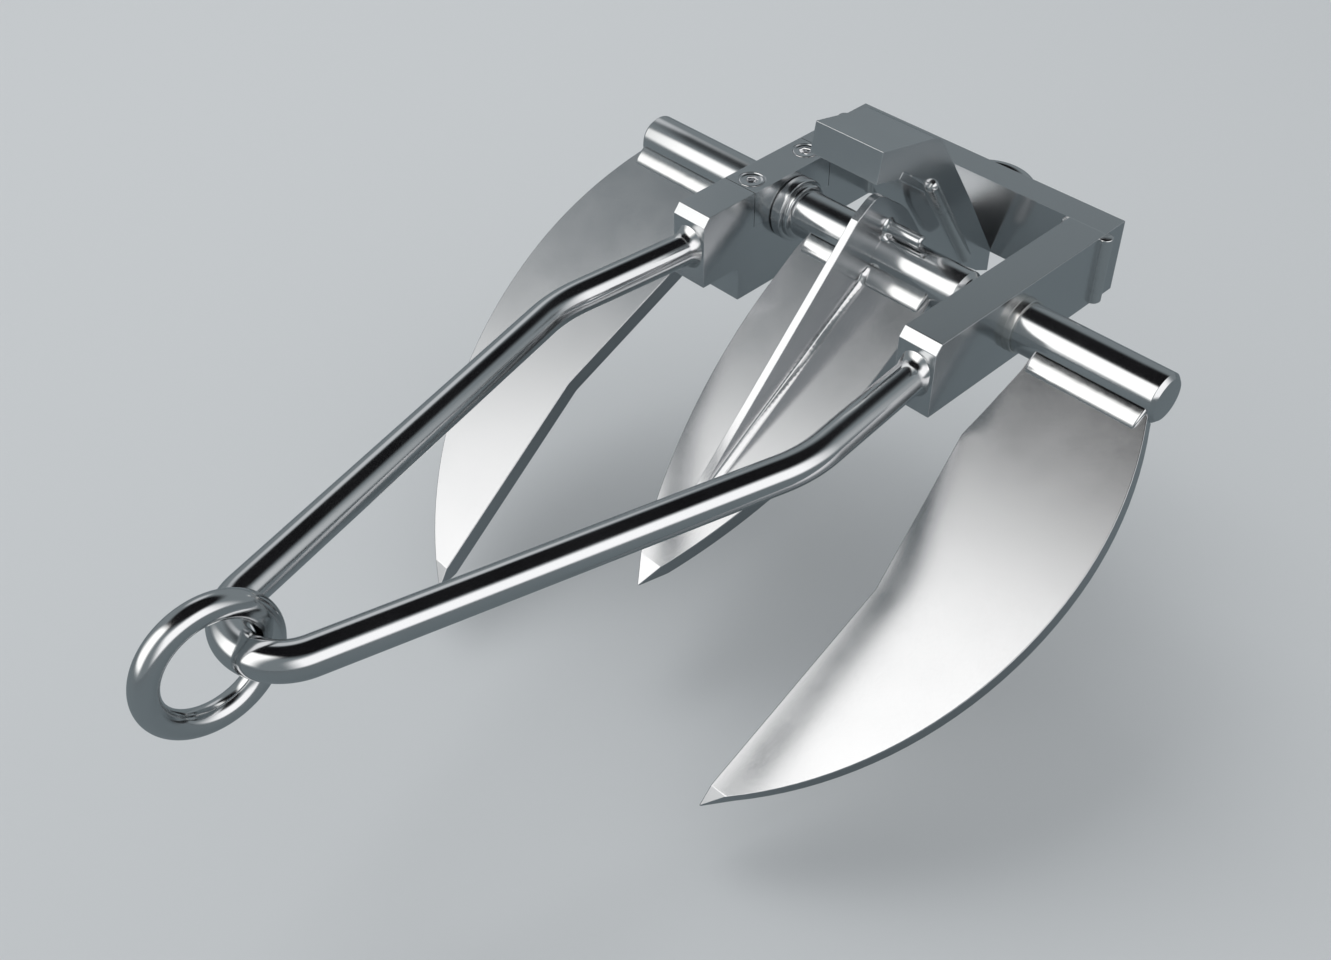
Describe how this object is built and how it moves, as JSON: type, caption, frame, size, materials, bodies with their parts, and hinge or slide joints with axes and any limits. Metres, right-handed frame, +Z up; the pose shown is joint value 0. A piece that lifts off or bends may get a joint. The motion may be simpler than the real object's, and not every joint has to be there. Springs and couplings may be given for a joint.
{
  "type": "fluke anchor",
  "caption": "Stainless boat anchor: pointed flukes on a hinged cross shaft in a forked head, a bent-rod shank with a loose ring, a crown hook and a trip-line bow.",
  "frame": {"origin": "the middle of the trip-line bow's opening behind the crossbar, halfway between the arms and level with the fluke shaft's axis (the trip_line_eye mount)", "axes": "+X along the fluke shaft, +Y from the shank towards the crown, +Z up, towards the crown hook's side"},
  "size_m": [0.436, 0.6385, 0.2754],
  "materials": {
    "polished_plate": "mirror-polished stainless plate with faint rolling lines and softly broken edges",
    "polished_rod": "mirror-polished stainless round bar with faint turned lines",
    "satin_plate": "satin-polished stainless plate, brushed along the fluke, brighter at the cut edges",
    "weld_bead": "dressed and polished weld metal with a soft ripple",
    "bush_metal": "fine-turned stainless bush",
    "screw_steel": "polished stainless countersunk screw with a darker socket"
  },
  "bodies": {
    "head": {"arm_left": "polished_plate", "arm_right": "polished_plate", "crossbar": "polished_plate", "corner_welds": "weld_bead", "bearing_cap": "polished_plate", "cap_screws": "screw_steel", "bush_left": "bush_metal", "bush_right": "bush_metal", "hook_bar": "polished_plate", "hook_pad": "polished_plate", "hook_welds": "weld_bead", "shank": "polished_rod", "shank_welds": "weld_bead", "trip_bow": "polished_rod", "trip_welds": "weld_bead"},
    "flukes": {"fluke_shaft": "polished_rod", "shaft_collar": "polished_rod", "fluke_left": "satin_plate", "fluke_right": "satin_plate", "fluke_middle": "satin_plate", "fluke_welds": "weld_bead", "rib": "satin_plate", "rib_welds": "weld_bead", "rib_pin": "polished_rod"},
    "ring": {"ring": "polished_rod"}
  },
  "joints": [
    {"name": "fluke_hinge", "type": "hinge", "parent": "head", "child": "flukes", "pos_m": [0, -0.109, 0], "axis": [1, 0, 0], "range_deg": [-13, 8]},
    {"name": "ring_swing", "type": "hinge", "parent": "head", "child": "ring", "pos_m": [0, -0.5602, 0], "axis": [1, 0, 0], "continuous": true}
  ]
}
